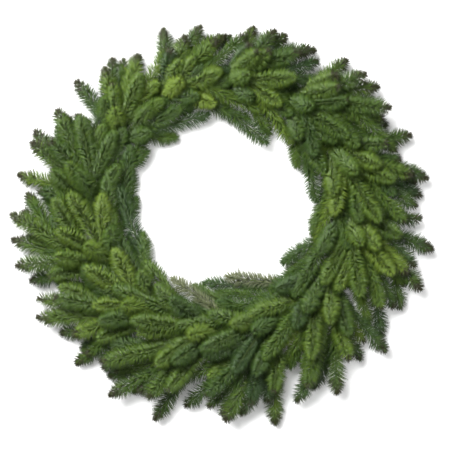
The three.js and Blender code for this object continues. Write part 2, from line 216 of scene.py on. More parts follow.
def furthest_outside(points, off_hole, off_rim):
    """How far the points lie outside the room, drawn in by off_hole and off_rim."""
    across = np.hypot(points[:, 0], points[:, 1])
    past = [
        HOLE_RADIUS + off_hole - across, across - rim_towards(points) + off_rim,
        LOWEST - points[:, 2], points[:, 2] - HIGHEST,
    ]
    return max(0.0, np.max(past))


# %% [markdown]
# Everything that has been laid is kept in one list, with a note of whose wood it is. Stems and
# leaders carry the side shoots: the ones of one clamp start side by side, and each touches its
# own side shoots, so those pairs have smaller limits.

# %% The wood already laid, and how clear of it a shoot lies
MUST_CLEAR = 7  # from one middle line to another
MATE_CLEAR = 4.65  # the same for the stems of one clamp
NECK = 11  # a side shoot has its own round section this far from where it forks
NECK_CLEAR = 5.1  # and from there on it has to lie this far from its leader

rule = SimpleNamespace(tries=250, clear_enough=12, off_hole=0, off_rim=0)
NOTES = ("a", "b", "early", "spray", "clamp", "carrier")  # what is noted of each stretch
laid = []


def lay(stretches, spray, clamp, carrier):
    for a, b, early in zip(stretches.a, stretches.b, stretches.early):
        laid.append((a, b, early, spray, clamp, carrier))


def laid_near(middle, reach):
    every = {note: np.array(column) for note, column in zip(NOTES, zip(*laid))}
    near = gaps_from(middle[None], SimpleNamespace(**every))[0] < reach + 2 * rule.clear_enough
    return SimpleNamespace(**{note: column[near] for note, column in every.items()})


def room_for(own, others, spray, clamp, carrier):
    """How clear of the others the stretches lie. It falls below 0 where they can't be laid."""
    gaps = gaps_between(own, others)
    early = own.early[:, None]
    mates = early & others.early & others.carrier & (others.clamp == clamp) & carrier
    roots = early & others.carrier & (others.spray == spray) & ~mates
    least = gaps[~(mates | roots)].min(initial=2 * rule.clear_enough)
    if (gaps[mates] < MATE_CLEAR).any() or (gaps_from(own.a, others)[roots] < NECK_CLEAR).any():
        least = 0
    outside = furthest_outside(own.b, rule.off_hole, rule.off_rim)
    return least - outside - (RING_RADIUS if least < MUST_CLEAR else 0)


# %% Turning a shoot about until it lies clear
def clearest(draw_shoot, others, spray, clamp, carrier):
    best = None
    for _ in range(rule.tries):
        shoot = draw_shoot()
        own = stretches_of(shoot, shoot.first)
        if shoot.foot is not None:
            own.a = np.vstack([shoot.foot.a, own.a])
            own.b = np.vstack([shoot.foot.b, own.b])
            own.early = np.append(shoot.foot.early, own.early)
        shoot.room = room_for(own, others, spray, clamp, carrier)
        if best is None or shoot.room > best.room:
            best = shoot
        if best.room > rule.clear_enough:
            break
    return best


# %% [markdown]
# Four rows of sprays make the wreath's round back: the outer row forms the rim, the shoulder and
# the crown stand higher, and the inner row lines the open middle. Each spray is a leader with
# three side shoots, two in its fan and one that stands up from it.
#
# Heading, rise and roll are degrees: outwards from the ring's own direction, up, and round the
# leader. Reach runs from clamp to tip, and seat counts stems outwards and up. A side shoot's fork
# and length are shares of its leader's length, and its spread and tilt are degrees again.

# %% The rows and the side shoots
ROWS = [
    SimpleNamespace(name="outer", heading=27, rise=6, reach=172, roll=12, seat=(0.5, 0)),
    SimpleNamespace(name="shoulder", heading=11, rise=16, reach=176, roll=10, seat=(0.5, 1)),
    SimpleNamespace(name="crown", heading=-9, rise=25, reach=160, roll=0, seat=(-0.5, 1)),
    SimpleNamespace(name="inner", heading=-32, rise=12, reach=160, roll=-20, seat=(-0.5, 0)),
]
SIDE_SHOOTS = [
    SimpleNamespace(side=1, fork=0.14, length=0.68, spread=32, tilt=4),
    SimpleNamespace(side=-1, fork=0.24, length=0.62, spread=32, tilt=0),
    SimpleNamespace(side=1, fork=0.05, length=0.6, spread=10, tilt=29),
]
HEADING_SPREAD = 9
RISE_SPREAD = 6
ROLL_SPREAD = 8
FAN_SPREAD = 7
REACH_SPREAD = 0.1
REACH_TO_RIM = 1.8  # sprays are longer where the rim lies further out, by this power
FORK_SPREAD = 0.02
CURL_SPREAD = 0.06


def new_shoot(start, direction, across, lift, length, curl=0.0, first=0.0, foot=None):
    return SimpleNamespace(
        start=start, direction=direction, across=across, lift=lift, length=length, curl=curl,
        first=first, foot=foot, silvery=False, sides=[], fillings=[],
    )


def draw_leader(place, row, leaving):
    heading = math.radians(about(row.heading, HEADING_SPREAD))
    rise = math.radians(about(row.rise, RISE_SPREAD))
    roll = math.radians(about(row.roll, ROLL_SPREAD))
    level_way = place.along * math.cos(heading) + place.out * math.sin(heading)
    direction = level_way * math.cos(rise) + UP * math.sin(rise)
    level = unit(np.cross(UP, direction))
    across = level * math.cos(roll) - np.cross(direction, level) * math.sin(roll)
    start = leaving + (place.along + direction) * (STEM_BEND / 2)
    rim = rim_towards(place.middle + direction * row.reach)
    reach = row.reach * about(1, REACH_SPREAD) * (rim / RIM_RADIUS) ** REACH_TO_RIM
    length = reach - CLAMP_EXIT - STEM_BEND
    curl = draw(0, CURL_SPREAD)
    foot = stretches_between(np.array([leaving, start]), [True])
    return new_shoot(start, direction, across, np.cross(direction, across), length, curl, foot=foot)


def draw_side(leader, kind):
    spread = math.radians(about(kind.spread, FAN_SPREAD))
    tilt = math.radians(about(kind.tilt, FAN_SPREAD))
    in_fan = leader.direction * math.cos(spread) + leader.across * (kind.side * math.sin(spread))
    direction = in_fan * math.cos(tilt) + leader.lift * math.sin(tilt)
    start = point_on(leader, about(kind.fork, FORK_SPREAD))
    length = leader.length * kind.length * about(1, REACH_SPREAD)
    curl = draw(0, CURL_SPREAD)
    return new_shoot(start, direction, leader.across, leader.lift, length, curl, NECK / length)


# %% The prongs of the clamps
def prong_line(place, side):
    wide = side * (PITCH + GAP / 2 + PRONG_WIRE / 2)
    top = RING_WIRE + GAP + 2 * PITCH + PRONG_WIRE / 2
    corners = [  # outwards and up: from the wire, round the stems and back over them
        (0, RING_WIRE / 2),
        (wide, 0.8 * RING_WIRE),
        (wide, top - 0.75 * PITCH),
        (0.85 * wide, top - 0.15 * PITCH),
        (0, top),
        (-0.5 * wide, top - 0.1 * PITCH),
    ]
    foot = place.middle + place.along * (side * (PRONG_WIRE + GAP) / 2)
    return np.array([foot + place.out * across + UP * up for across, up in corners])


prong_lines = [prong_line(place, side) for place in clamp_places for side in (1, -1)]
for line in prong_lines:
    lay(stretches_between(line, [False] * (len(line) - 1)), "", -1, False)
print("prongs:", len(prong_lines))

# %% Laying the sprays, clamp by clamp
LONGEST_LEADER = 250  # nothing of a new leader lies further than this from its clamp
LONGEST_SIDE = 1.2  # and no side shoot is longer than this share of its usual length


def lay_spray(clamp, place, row):
    name = f"spray_{row.name}_{clamp + 1:02d}"
    seat = place.middle + place.out * (row.seat[0] * PITCH)
    seat[2] = RING_WIRE + GAP + STEM / 2 + row.seat[1] * PITCH
    butt = seat - place.along * BUTT_LENGTH
    leaving = seat + place.along * CLAMP_EXIT
    near = laid_near(leaving, LONGEST_LEADER)
    leader = clearest(lambda: draw_leader(place, row, leaving), near, name, clamp, True)
    lay(stretches_between(np.array([butt, leaving]), [True]), name, clamp, True)
    lay(leader.foot, name, clamp, True)
    lay(stretches_of(leader), name, clamp, True)
    for kind in SIDE_SHOOTS:
        near = laid_near(point_on(leader, kind.fork), LONGEST_SIDE * kind.length * leader.length)
        shoot = clearest(lambda: draw_side(leader, kind), near, name, clamp, False)
        lay(stretches_of(shoot, shoot.first), name, clamp, False)
        leader.sides.append(shoot)
    return SimpleNamespace(name=name, row=row.name, place=place, butt=butt, leaving=leaving, leader=leader)


def shoots_of(spray):
    return [spray.leader, *spray.leader.sides, *spray.leader.fillings]


sprays = [lay_spray(clamp, place, row) for clamp, place in enumerate(clamp_places) for row in ROWS]
print("sprays laid:", len(sprays))

# %% [markdown]
# The open middle isn't a true circle: a few shoots lean over its edge, most of them at the bottom.
# Each is given by where it comes out of the mass and where it ends. It grows from the wood nearest
# to where it comes out, as long as it stays clear.

# %% Shoots that lean over the hole's edge
EDGE_SHOOTS = np.array([  # where each comes out of the mass, and where it ends
    [(6, 134, 36), (62, 90, 44)],
    [(-50, 132, 20), (36, 125, 23)],
    [(86, -108, 30), (8, -100, 32)],
    [(0, -136, 26), (-68, -103, 30)],
    [(46, -124, 24), (-24, -109, 25)],
    [(70, -130, 20), (-6, -121, 20)],
])
SILVERY = (2, 3)  # these of them lie with their pale side up
START_PLACES = np.linspace(0.05, 0.9, 18)  # where on another shoot one may start
STARTS_TRIED = 30
EDGE_CLEAR = 7
TOO_CLOSE = 5  # what a mm of missing room weighs against a mm of distance
TESTED_FROM = 0.4  # over this first share of its length, a shoot may lie among its own wood
rule = SimpleNamespace(tries=1, clear_enough=12, off_hole=-30, off_rim=0)


def edge_shoot(spray, carrier, start, end):
    length = np.linalg.norm(end - start)
    direction = (end - start) / length
    shoot = new_shoot(start, direction, carrier.across, carrier.lift, length, first=TESTED_FROM)
    shoot.spray = spray
    return shoot


def missed(shoot, out, near):
    """How far from the wished place a shoot starts, and worse if it isn't clear of other wood."""
    shoot.room = room_for(stretches_of(shoot, shoot.first), near, shoot.spray.name, -1, False)
    return np.linalg.norm(shoot.start - out) + TOO_CLOSE * max(0, EDGE_CLEAR - shoot.room)


wood = [(spray, shoot) for spray in sprays for shoot in shoots_of(spray)]
for number, (out, end) in enumerate(EDGE_SHOOTS):
    near = laid_near(end, LONGEST_LEADER)
    choices = [
        edge_shoot(spray, carrier, point_on(carrier, t), end)
        for spray, carrier in wood for t in START_PLACES
    ]
    choices.sort(key=lambda shoot: np.linalg.norm(shoot.start - out))
    best = min(choices[:STARTS_TRIED], key=lambda shoot: missed(shoot, out, near))
    best.silvery = number in SILVERY
    lay(stretches_of(best, best.first), best.spray.name, -1, False)
    best.spray.leader.fillings.append(best)
    print("a shoot of", best.spray.name, "leans over the edge from", best.start.round())

# %% [markdown]
# The solids have four shoots for each spray, which is enough to give the wreath its form. A real
# spray also has low side shoots that close the gaps under the long ones. They are laid last, by
# the same test, a little inside the room's edges, and only where their needles have room too.

# %% Low shoots that fill the gaps
FILLING_SHOOTS = 6  # at most so many for each spray
FILLING_ROOM = 9  # a filling shoot with less room than this is left out
FILLING_HIGHEST = 36
FILLING_SPREAD_DEG = (8, 38)
FILLING_FORK = (0, 0.6)
FILLING_LENGTH = (65, 110)


def draw_filling(carriers):
    carrier = carriers[int(draw(0, len(carriers) - 1e-6))]
    side = 1 if draw(-1, 1) > 0 else -1
    spread = math.radians(draw(*FILLING_SPREAD_DEG))
    start = point_on(carrier, draw(*FILLING_FORK))
    length = draw(*FILLING_LENGTH)
    direction = carrier.direction * math.cos(spread) + carrier.across * (side * math.sin(spread))
    direction[2] = (draw(LOWEST, FILLING_HIGHEST) - start[2]) / length
    way = unit(direction)
    return new_shoot(start, way, carrier.across, carrier.lift, length, first=TESTED_FROM)


rule = SimpleNamespace(tries=60, clear_enough=16, off_hole=12, off_rim=16)
for spray in sprays:
    leader = spray.leader
    carriers = [leader, *leader.sides]
    for _ in range(FILLING_SHOOTS):
        near = laid_near(point_on(leader, 0.5), 0.5 * leader.length + FILLING_LENGTH[1])
        shoot = clearest(lambda: draw_filling(carriers), near, spray.name, -1, False)
        if shoot.room > FILLING_ROOM:
            lay(stretches_of(shoot, shoot.first), spray.name, -1, False)
            leader.fillings.append(shoot)
rooms = [shoot.room for spray in sprays for shoot in spray.leader.fillings]
print("shoots added:", len(rooms), "with at least this much room in mm:", round(min(rooms), 1))

# %% [markdown]
# The middle of the ring is found on the solid ring, which is the same all the way round, and the
# twigs are checked against the solid sprays: how far the end of each leader and side shoot lies
# outside its spray's box is measured and printed.

# %% From the ring's own millimetres to the frame's metres
MM = 0.001
ring_low, ring_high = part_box("clamp_ring")
ring_middle = np.array([(ring_low.x + ring_high.x) / 2, (ring_low.y + ring_high.y) / 2, 0.0])


def in_frame(points):
    return np.asarray(points) * MM + ring_middle


furthest = 0.0
for spray in sprays:
    low, high = (np.array(corner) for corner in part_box(spray.name))
    for shoot in [spray.leader, *spray.leader.sides]:
        tip = in_frame(point_on(shoot, 1.0))
        furthest = max(furthest, float(np.max([low - tip, tip - high])))
print("furthest that a shoot's end lies outside its solid, in mm:", round(furthest / MM, 2))

# %% [markdown]
# ## One needle
#
# A fir needle is a slim blade with a keel underneath. It is modelled once, one unit long, as the
# hull of four corners: the foot, the tip, and the two edges where it is widest. The edges are
# pushed a little ahead, towards the tip of the shoot, so that the blade is folded along its keel
# and looks slightly bent from above. More than a hundred thousand copies follow, so four faces
# have to do.

# %% The needle that all others are copies of
NEEDLE_WIDEST = 0.36  # share of the length
NEEDLE_FOLD = 1.0  # how far ahead the edges lie, in thicknesses

needle = bmesh.new()
for corner in ((0, 0, 0), (NEEDLE_FOLD, 0.5, NEEDLE_WIDEST), (NEEDLE_FOLD, -0.5, NEEDLE_WIDEST), (0, 0, 1)):
    bmesh.ops.create_vert(needle, co=corner)
bmesh.ops.convex_hull(needle, input=needle.verts)
bmesh.ops.recalc_face_normals(needle, faces=needle.faces)
print("faces of one needle:", len(needle.faces))

# %% [markdown]
# ## One bud
#
# Each shoot ends in an egg-shaped bud of brown scales. The scales are tiers: each ring of the bud
# is drawn in under the one before it, so that the edges of the scales catch the light.

# %% The bud that all others are copies of
def extruded(bm, edges):
    """Extrudes an open ring of edges, and returns the corners and the edges of the new ring."""
    grown = bmesh.ops.extrude_edge_only(bm, edges=edges)["geom"]
    ring = [part for part in grown if isinstance(part, bmesh.types.BMVert)]
    return ring, [part for part in grown if isinstance(part, bmesh.types.BMEdge)]


BUD_SIDES = 5
BUD_FOOT = 0.36
BUD_TIERS = [  # how far up each ring is, and how wide, from the foot on
    (0.2, 1.35), (0.14, 0.88), (0.22, 1.02), (0.12, 0.75),
]

bud = bmesh.new()
bmesh.ops.create_circle(bud, cap_ends=True, segments=BUD_SIDES, radius=BUD_FOOT)
edges = list(bud.edges)
for step, scale in BUD_TIERS:
    ring, edges = extruded(bud, edges)
    middle = sum((v.co for v in ring), Vector()) / len(ring)
    bmesh.ops.scale(bud, vec=(scale, scale, scale), space=Matrix.Translation(-middle), verts=ring)
    bmesh.ops.translate(bud, vec=(0, 0, step), verts=ring)
bmesh.ops.pointmerge(bud, verts=ring, merge_co=(0, 0, 1))
bmesh.ops.recalc_face_normals(bud, faces=bud.faces)
bmesh.ops.triangulate(bud, faces=bud.faces)
print("faces of one bud:", len(bud.faces))

# %% [markdown]
# ## Colour maps
#
# Every piece of fir carries one colour map. Its width is split in strips. A needle lies in one of
# the strips, so that the strip says how yellow or blue its green is, where it lies across its
# strip says which side of the needle it is, and its height says how far along it is. The first of
# these strips is for dark brown needle ends, and the last for shoots that lie with their pale
# side up. Bark and buds have a strip each at the right-hand edge. That way a material needs
# nothing but the map.

# %% Where each part lies on the map
MAP_NAME = "OFBake"
NEEDLE_STRIPS = 24
BROWN_STRIP = 0
SILVERY_STRIP = NEEDLE_STRIPS - 1
STRIP_WIDTH = 1 / (NEEDLE_STRIPS + 2)
BARK_STRIP = NEEDLE_STRIPS
BUD_STRIP = NEEDLE_STRIPS + 1
STRIP_MARGIN = 0.1  # kept free on both sides of a strip
MAP_MARGIN = 0.01  # kept free at the map's foot and top
KEEL = STRIP_MARGIN + (1 - 2 * STRIP_MARGIN) * 0.75  # where a needle's keel lies across its strip


def place_on_strip(strip, around, along):
    across = STRIP_MARGIN + (1 - 2 * STRIP_MARGIN) * around
    return np.stack([(strip + across) * STRIP_WIDTH, np.clip(along, MAP_MARGIN, 1 - MAP_MARGIN)], -1)


def pattern_of(bm, around_of):
    """The corners, faces and places on the map of a small shape that will be copied."""
    bm.verts.index_update()
    corners = np.array([v.co for v in bm.verts])
    faces = np.array([[v.index for v in face.verts] for face in bm.faces])
    around = np.array([around_of(face, [v.co for v in face.verts]) for face in bm.faces])
    return SimpleNamespace(corners=corners, faces=faces, around=around, along=corners[:, 2][faces])


def across_a_side(face, places):
    """Upper faces lie in the left half of a strip and keeled ones in the right half."""
    half = 0.5 if face.normal.x < 0 else 0.0
    return [half + 0.5 * (place.y + 0.5) for place in places]


def turn_of(place):
    """How far round the middle line a place lies, from 0 to 1."""
    return math.atan2(place.y, place.x) / (2 * math.pi) + 0.5


def over_seam(turns):
    """The turns of a face's corners. Where it lies over the seam, some get past 1."""
    wraps = max(turns) - min(turns) > 0.5
    return [turn + (wraps and turn < 0.5) for turn in turns]


def turned_around(face, places):
    """The turn of each corner. A corner on the middle line itself takes the mean of the others."""
    off_line = [math.hypot(place.x, place.y) > 1e-6 for place in places]
    turns = over_seam([turn_of(place) for place, off in zip(places, off_line) if off])
    mean = sum(turns) / len(turns)
    rest = iter(turns)
    return [min(next(rest) if off else mean, 1.0) for off in off_line]


needle_pattern = pattern_of(needle, across_a_side)
bud_pattern = pattern_of(bud, turned_around)
needle.free()
bud.free()
print("corners of a needle:", len(needle_pattern.corners), "and of a bud:", len(bud_pattern.corners))

# %% [markdown]
# ## Twigs
#
# A twig is a circle that is extruded from point to point of its middle line, turned to look along
# it and made a little thinner each time. A curve with a round bevel would do as well, but rings
# keep the taper in hand.

# %% A twig along its middle line
TWIG_SIDES = 6


def facing(ahead, side):
    """A turn that takes +Z to ahead and +X as near to side as it can."""
    z = Vector(ahead).normalized()
    y = z.cross(Vector(side)).normalized()
    return Matrix((y.cross(z), y, z)).transposed().to_4x4()


def add_round(bm, line, radii, side, sides=TWIG_SIDES):
    """Adds a closed round rod along a line of points, and lays it on the bark's strip."""
    line = [Vector(point) for point in line]
    ways = [(b - a).normalized() for a, b in zip(line, line[1:])]
    aheads = [ways[0], *((a + b).normalized() for a, b in zip(ways, ways[1:])), ways[-1]]
    places = [Matrix.Translation(point) @ facing(ahead, side) for point, ahead in zip(line, aheads)]
    made = bmesh.ops.create_circle(bm, cap_ends=True, segments=sides, radius=radii[0], matrix=places[0])
    ring = made["verts"]
    edges = list({edge for v in ring for edge in v.link_edges})
    turn, along = {}, {}
    for number, place in enumerate(places):
        if number > 0:
            ring, edges = extruded(bm, edges)
            thinner = Matrix.Scale(radii[number] / radii[number - 1], 4)
            step = place @ thinner @ places[number - 1].inverted()
            bmesh.ops.transform(bm, matrix=step, verts=ring)
        for v in ring:
            turn[v] = turn_of(place.inverted() @ v.co)
            along[v] = number / (len(line) - 1)
    bmesh.ops.contextual_create(bm, geom=edges)
    map_layer = bm.loops.layers.uv[MAP_NAME]
    for face in {face for v in turn for face in v.link_faces}:
        turns = [turn[v] for v in face.verts]
        if len(turns) == 4:  # the two ends have more corners
            turns = over_seam(turns)
        for corner, around in zip(face.loops, turns):
            corner[map_layer].uv = place_on_strip(BARK_STRIP, around, along[corner.vert])


# %% [markdown]
# ## Copies
#
# Copies of a needle go in one mesh for each spray. Blender could scatter instances, but those are
# lost when a model leaves Blender, so the copies are real: every corner of the pattern is turned,
# stretched and moved for every needle in one sum over arrays.

# %% A mesh of many copies of a pattern
NEEDLES, BARK, BUDS = range(3)  # the places of their finishes in a spray's mesh


def copies_of(pattern, axes, feet, strips, finish_place):
    """axes holds three columns for each copy: where its x, y and z go, as long as it is stretched."""
    count = len(feet)
    corners = np.einsum("nij,vj->nvi", axes, pattern.corners) + feet[:, None]
    faces = pattern.faces[None] + (np.arange(count) * len(pattern.corners))[:, None, None]
    strips = np.broadcast_to(np.asarray(strips)[:, None, None], (count, *pattern.around.shape))
    places = place_on_strip(strips, pattern.around[None], np.broadcast_to(pattern.along, strips.shape))
    mesh = bpy.data.meshes.new("copies")
    mesh.vertices.add(corners.size // 3)
    mesh.vertices.foreach_set("co", corners.astype(np.float32).ravel())
    mesh.loops.add(faces.size)
    mesh.loops.foreach_set("vertex_index", faces.astype(np.int32).ravel())
    mesh.polygons.add(faces.size // 3)
    mesh.polygons.foreach_set("loop_start", np.arange(0, faces.size, 3, dtype=np.int32))
    mesh.polygons.foreach_set("material_index", np.full(faces.size // 3, finish_place, np.int32))
    map_layer = mesh.uv_layers.new(name=MAP_NAME, do_init=False)
    map_layer.uv.foreach_set("vector", places.astype(np.float32).ravel())
    mesh.update(calc_edges=True)
    return mesh


# %% [markdown]
# ## How needles stand on a shoot
#
# Needles follow each other round a shoot by the golden angle, so that no side stays bare. At its
# sides they stand out steeply, and on top they lean forward and hide the twig. Each is twisted at
# its foot, so that its green face looks up to the light. Over the last stretch they get shorter,
# which gives the blunt, rounded end of a brush. Where two shoots lie side by side their needles
# press each other flatter, and on the underside the table does.

# %% Needles along a shoot
rng = np.random.default_rng(12)
GOLDEN_TURN = math.pi * (3 - math.sqrt(5))
TURN_SPREAD = 0.4  # radians
NEEDLES_PER_MM = 7.3
NEEDLE_LENGTH = 19
NEEDLE_TIP_LENGTH = 8.5  # of the last needles
LENGTH_SPREAD = (0.88, 1.04)
NEEDLE_WIDTH = 1.0
WIDTH_SPREAD = (0.85, 1.1)
NEEDLE_THICKNESS = 0.7
NEEDLE_FOOT = 0.8  # from the shoot's middle line to the foot of a needle
NEEDLE_LEAN_DEG = 68  # from the shoot's own direction
NEEDLE_TOP_LEAN_DEG = 50  # the same on top of the shoot
NEEDLE_TIP_LEAN_DEG = 18
LEAN_SPREAD_DEG = 5
ROLL_SPREAD_DEG = 28
FACE_BACK = 0.3  # how far back a needle's green face looks, as a share of up
TOWARDS_LIGHT = 0.5  # how much closer together the needles stand on top than below
SHORTER_OVER_MM = 22  # the needles get shorter over this last length of a shoot
ROUNDNESS = 0.75  # a power: with 1 the end of the brush would be a cone
LEAN_OVER_MM = 3  # and only the very last ones lean further forward
PRESS_ROUNDS = 2
FLATTER, SHORTER = 0.95, 0.72  # the most that a neighbour presses a needle in each round
OWN_SHARE = 1.2  # it is pressed where the neighbour is nearer than its own shoot over this
LOWER_WEIGHT = 1.5  # each mm that a neighbour lies lower counts as this much more distance
NEIGHBOURS_WITHIN = 55  # of the furthest needle's tip
NO_NEIGHBOUR = 99
TABLE_CLEAR = 0.6
TONE_SPREAD = 0.13
BARE_FOOT = 6  # mm of a side shoot that lie among its leader's needles


shoots = [shoot for spray in sprays for shoot in shoots_of(spray)]
parts = []
for number, shoot in enumerate(shoots):
    shoot.number = number
    parts.append(stretches_of(shoot, 0.0 if shoot.foot else BARE_FOOT / shoot.length))
foliage_a = np.concatenate([part.a for part in parts])
foliage_b = np.concatenate([part.b for part in parts])
foliage_owner = np.repeat(np.arange(len(parts)), len(MARKS) - 1)


def space_left(tips, heights, own_number):
    """For each needle's tip, how far it lies from its own shoot and from the nearest other one. What
    lies lower than the needle's foot counts as further away, because it is pushed down and covered."""
    middle = tips.mean(0)
    reach = np.linalg.norm(tips - middle, axis=1).max() + NEIGHBOURS_WITHIN
    middles = (foliage_a + foliage_b) / 2
    near = np.linalg.norm(middles - middle, axis=1) < reach
    gaps = gaps_from(tips, SimpleNamespace(a=foliage_a[near], b=foliage_b[near]))
    own = foliage_owner[near] == own_number
    below = heights[:, None] - middles[near, 2]
    other_gap = (gaps + LOWER_WEIGHT * np.maximum(0, below))[:, ~own].min(1, initial=NO_NEIGHBOUR)
    return gaps[:, own].min(1, initial=NO_NEIGHBOUR), other_gap


def needles_on(line, directions, side, tip_distance, tint, browned_mm=0.0, own_number=-1):
    """Needles at the points of a line: their axes and feet, in millimetres, and their strips."""
    count = len(line)
    angle = np.arange(count) * GOLDEN_TURN + rng.normal(0, TURN_SPREAD, count)
    angle -= TOWARDS_LIGHT * np.sin(angle)
    lift = unit(np.cross(directions, side))
    level = np.cross(lift, directions)
    outward = lift * np.cos(angle)[:, None] + level * np.sin(angle)[:, None]
    near_tip = np.exp(-tip_distance / LEAN_OVER_MM)
    lean = NEEDLE_LEAN_DEG + (NEEDLE_TOP_LEAN_DEG - NEEDLE_LEAN_DEG) * np.clip(outward[:, 2], 0, 1)
    lean += (NEEDLE_TIP_LEAN_DEG - lean) * near_tip
    lean = np.radians(lean + rng.normal(0, LEAN_SPREAD_DEG, count))
    grown = np.clip(tip_distance / SHORTER_OVER_MM, 0, 1) ** ROUNDNESS
    length = NEEDLE_TIP_LENGTH + (NEEDLE_LENGTH - NEEDLE_TIP_LENGTH) * grown
    length *= rng.uniform(*LENGTH_SPREAD, count)
    feet = line + outward * NEEDLE_FOOT
    if own_number >= 0:
        for _ in range(PRESS_ROUNDS):
            axis = directions * np.cos(lean)[:, None] + outward * np.sin(lean)[:, None]
            own_gap, other_gap = space_left(feet + axis * length[:, None], line[:, 2], own_number)
            pressed = OWN_SHARE * other_gap / np.maximum(own_gap, 1e-6)
            lean *= np.clip(pressed, FLATTER, 1)
            length *= np.clip(pressed, SHORTER, 1)
    axis = directions * np.cos(lean)[:, None] + outward * np.sin(lean)[:, None]
    rise = np.maximum(axis[:, 2], (TABLE_CLEAR - feet[:, 2]) / length)
    axis[:, :2] *= (np.sqrt(1 - rise**2) / np.linalg.norm(axis[:, :2], axis=1))[:, None]
    axis[:, 2] = rise
    sideways = unit(np.cross(axis, UP - FACE_BACK * directions))
    roll = np.radians(rng.normal(0, ROLL_SPREAD_DEG, count))[:, None]
    sideways = sideways * np.cos(roll) + np.cross(axis, sideways) * np.sin(roll)
    ahead = np.cross(sideways, axis)
    width = NEEDLE_WIDTH * rng.uniform(*WIDTH_SPREAD, count)[:, None]
    axes = np.stack([ahead * NEEDLE_THICKNESS, sideways * width, axis * length[:, None]], -1)
    tone = np.clip(tint + rng.normal(0, TONE_SPREAD, count), 0, 0.999)
    strips = 1 + np.floor(tone * (NEEDLE_STRIPS - 2))
    browned = tip_distance < browned_mm * rng.uniform(0, 1, count)
    return axes, feet, np.where(browned, BROWN_STRIP, strips)


print("shoots:", len(shoots), "with this many needles in 100 mm:", round(100 * NEEDLES_PER_MM))

# %% [markdown]
# ## The finish of the needles
#
# Fresh fir is a deep green with a soft gloss. Some shoots are yellower, some bluer, and the young
# ends are lighter. The strip of the map sets the tone, a darker foot and a lighter end follow the
# needle's length, and the underside has the two pale bands that fir is known by.

# %% Helpers for finishes
def feed(node, values):
    """Sets a node's inputs, or links them where the value is another node's output."""
    for name, value in values.items():
        if isinstance(value, bpy.types.NodeSocket):
            node.id_data.links.new(value, node.inputs[name])
        else:
            node.inputs[name].default_value = value


def new_finish(name, roughness):
    finish = bpy.data.materials.new(name)
    finish.use_nodes = True
    shader = finish.node_tree.nodes["Principled BSDF"]
    feed(shader, {"Roughness": roughness})
    return finish, finish.node_tree, shader


def add_node(tree, kind, values, **settings):
    node = tree.nodes.new(kind)
    for name, value in settings.items():
        setattr(node, name, value)
    feed(node, values)
    return node


def add_ramp(tree, source, stops):
    """A colour ramp that reads source, with stops of (place, colour)."""
    node = add_node(tree, "ShaderNodeValToRGB", {"Fac": source})
    elements = node.color_ramp.elements
    while len(elements) < len(stops):
        elements.new(0.5)
    for element, (place, colour) in zip(elements, stops):
        element.position = place
        element.color = (*colour, 1)
    return node.outputs["Color"]


def add_maths(tree, operation, first, second=0.0, third=0.0):
    values = {0: first, 1: second, 2: third}
    return add_node(tree, "ShaderNodeMath", values, operation=operation).outputs["Value"]


def add_mix(tree, blend, share, first, second):
    values = {0: share, 6: first, 7: second}  # 6 and 7 take colours
    return add_node(tree, "ShaderNodeMix", values, data_type="RGBA", blend_type=blend).outputs[2]


def add_noise_skin(shader, vector, tones, scale, detail, height, distance):
    """Noise over vector that colours a finish by its tones and raises it too."""
    tree = shader.id_data
    values = {"Vector": vector, "Scale": scale, "Detail": detail}
    noise = add_node(tree, "ShaderNodeTexNoise", values).outputs["Fac"]
    values = {"Height": noise, "Strength": height, "Distance": distance}
    raised = add_node(tree, "ShaderNodeBump", values).outputs["Normal"]
    feed(shader, {"Base Color": add_ramp(tree, noise, tones), "Normal": raised})


def map_parts(tree):
    """The place on the map, and what it says: the tone, the way round the piece and along it."""
    place = add_node(tree, "ShaderNodeUVMap", {}, uv_map=MAP_NAME).outputs["UV"]
    parts = add_node(tree, "ShaderNodeSeparateXYZ", {"Vector": place}).outputs
    strip = add_maths(tree, "DIVIDE", parts["X"], STRIP_WIDTH)
    tone = add_maths(tree, "DIVIDE", add_maths(tree, "FLOOR", strip), NEEDLE_STRIPS)
    around = add_maths(tree, "FRACT", strip)
    return place, tone, around, parts["Y"]


# %% Green needles
NEEDLE_TONES = [  # browned, then from bluish to yellowish, and silvery
    (0.02, (0.035, 0.034, 0.014)),
    (0.04, (0.036, 0.074, 0.025)),
    (0.35, (0.058, 0.110, 0.020)),
    (0.65, (0.098, 0.162, 0.022)),
    (0.93, (0.180, 0.258, 0.040)),
    (0.95, (0.150, 0.170, 0.095)),
]
LENGTH_TONES = [  # from the foot of a needle to its tip
    (0.0, (0.85, 0.82, 0.6)),
    (0.4, (0.98, 0.98, 0.88)),
    (1.0, (1.08, 1.06, 1.0)),
]
PALE_BAND = (0.24, 0.33, 0.21, 1)
BAND_FROM_KEEL = 0.09  # in widths of a strip
BAND_HALF_WIDTH = 0.045
BAND_STRENGTH = 0.55

needle_finish, tree, shader = new_finish("fir_needles", roughness=0.34)
_, tone, around, along = map_parts(tree)
green = add_ramp(tree, tone, NEEDLE_TONES)
green = add_mix(tree, "MULTIPLY", 1.0, green, add_ramp(tree, along, LENGTH_TONES))
from_keel = add_maths(tree, "ABSOLUTE", add_maths(tree, "SUBTRACT", around, KEEL))
band = add_maths(tree, "COMPARE", from_keel, BAND_FROM_KEEL, BAND_HALF_WIDTH)
band = add_maths(tree, "MULTIPLY", band, BAND_STRENGTH)
feed(shader, {"Base Color": add_mix(tree, "MIX", band, green, PALE_BAND)})
print("needle tones:", len(NEEDLE_TONES))
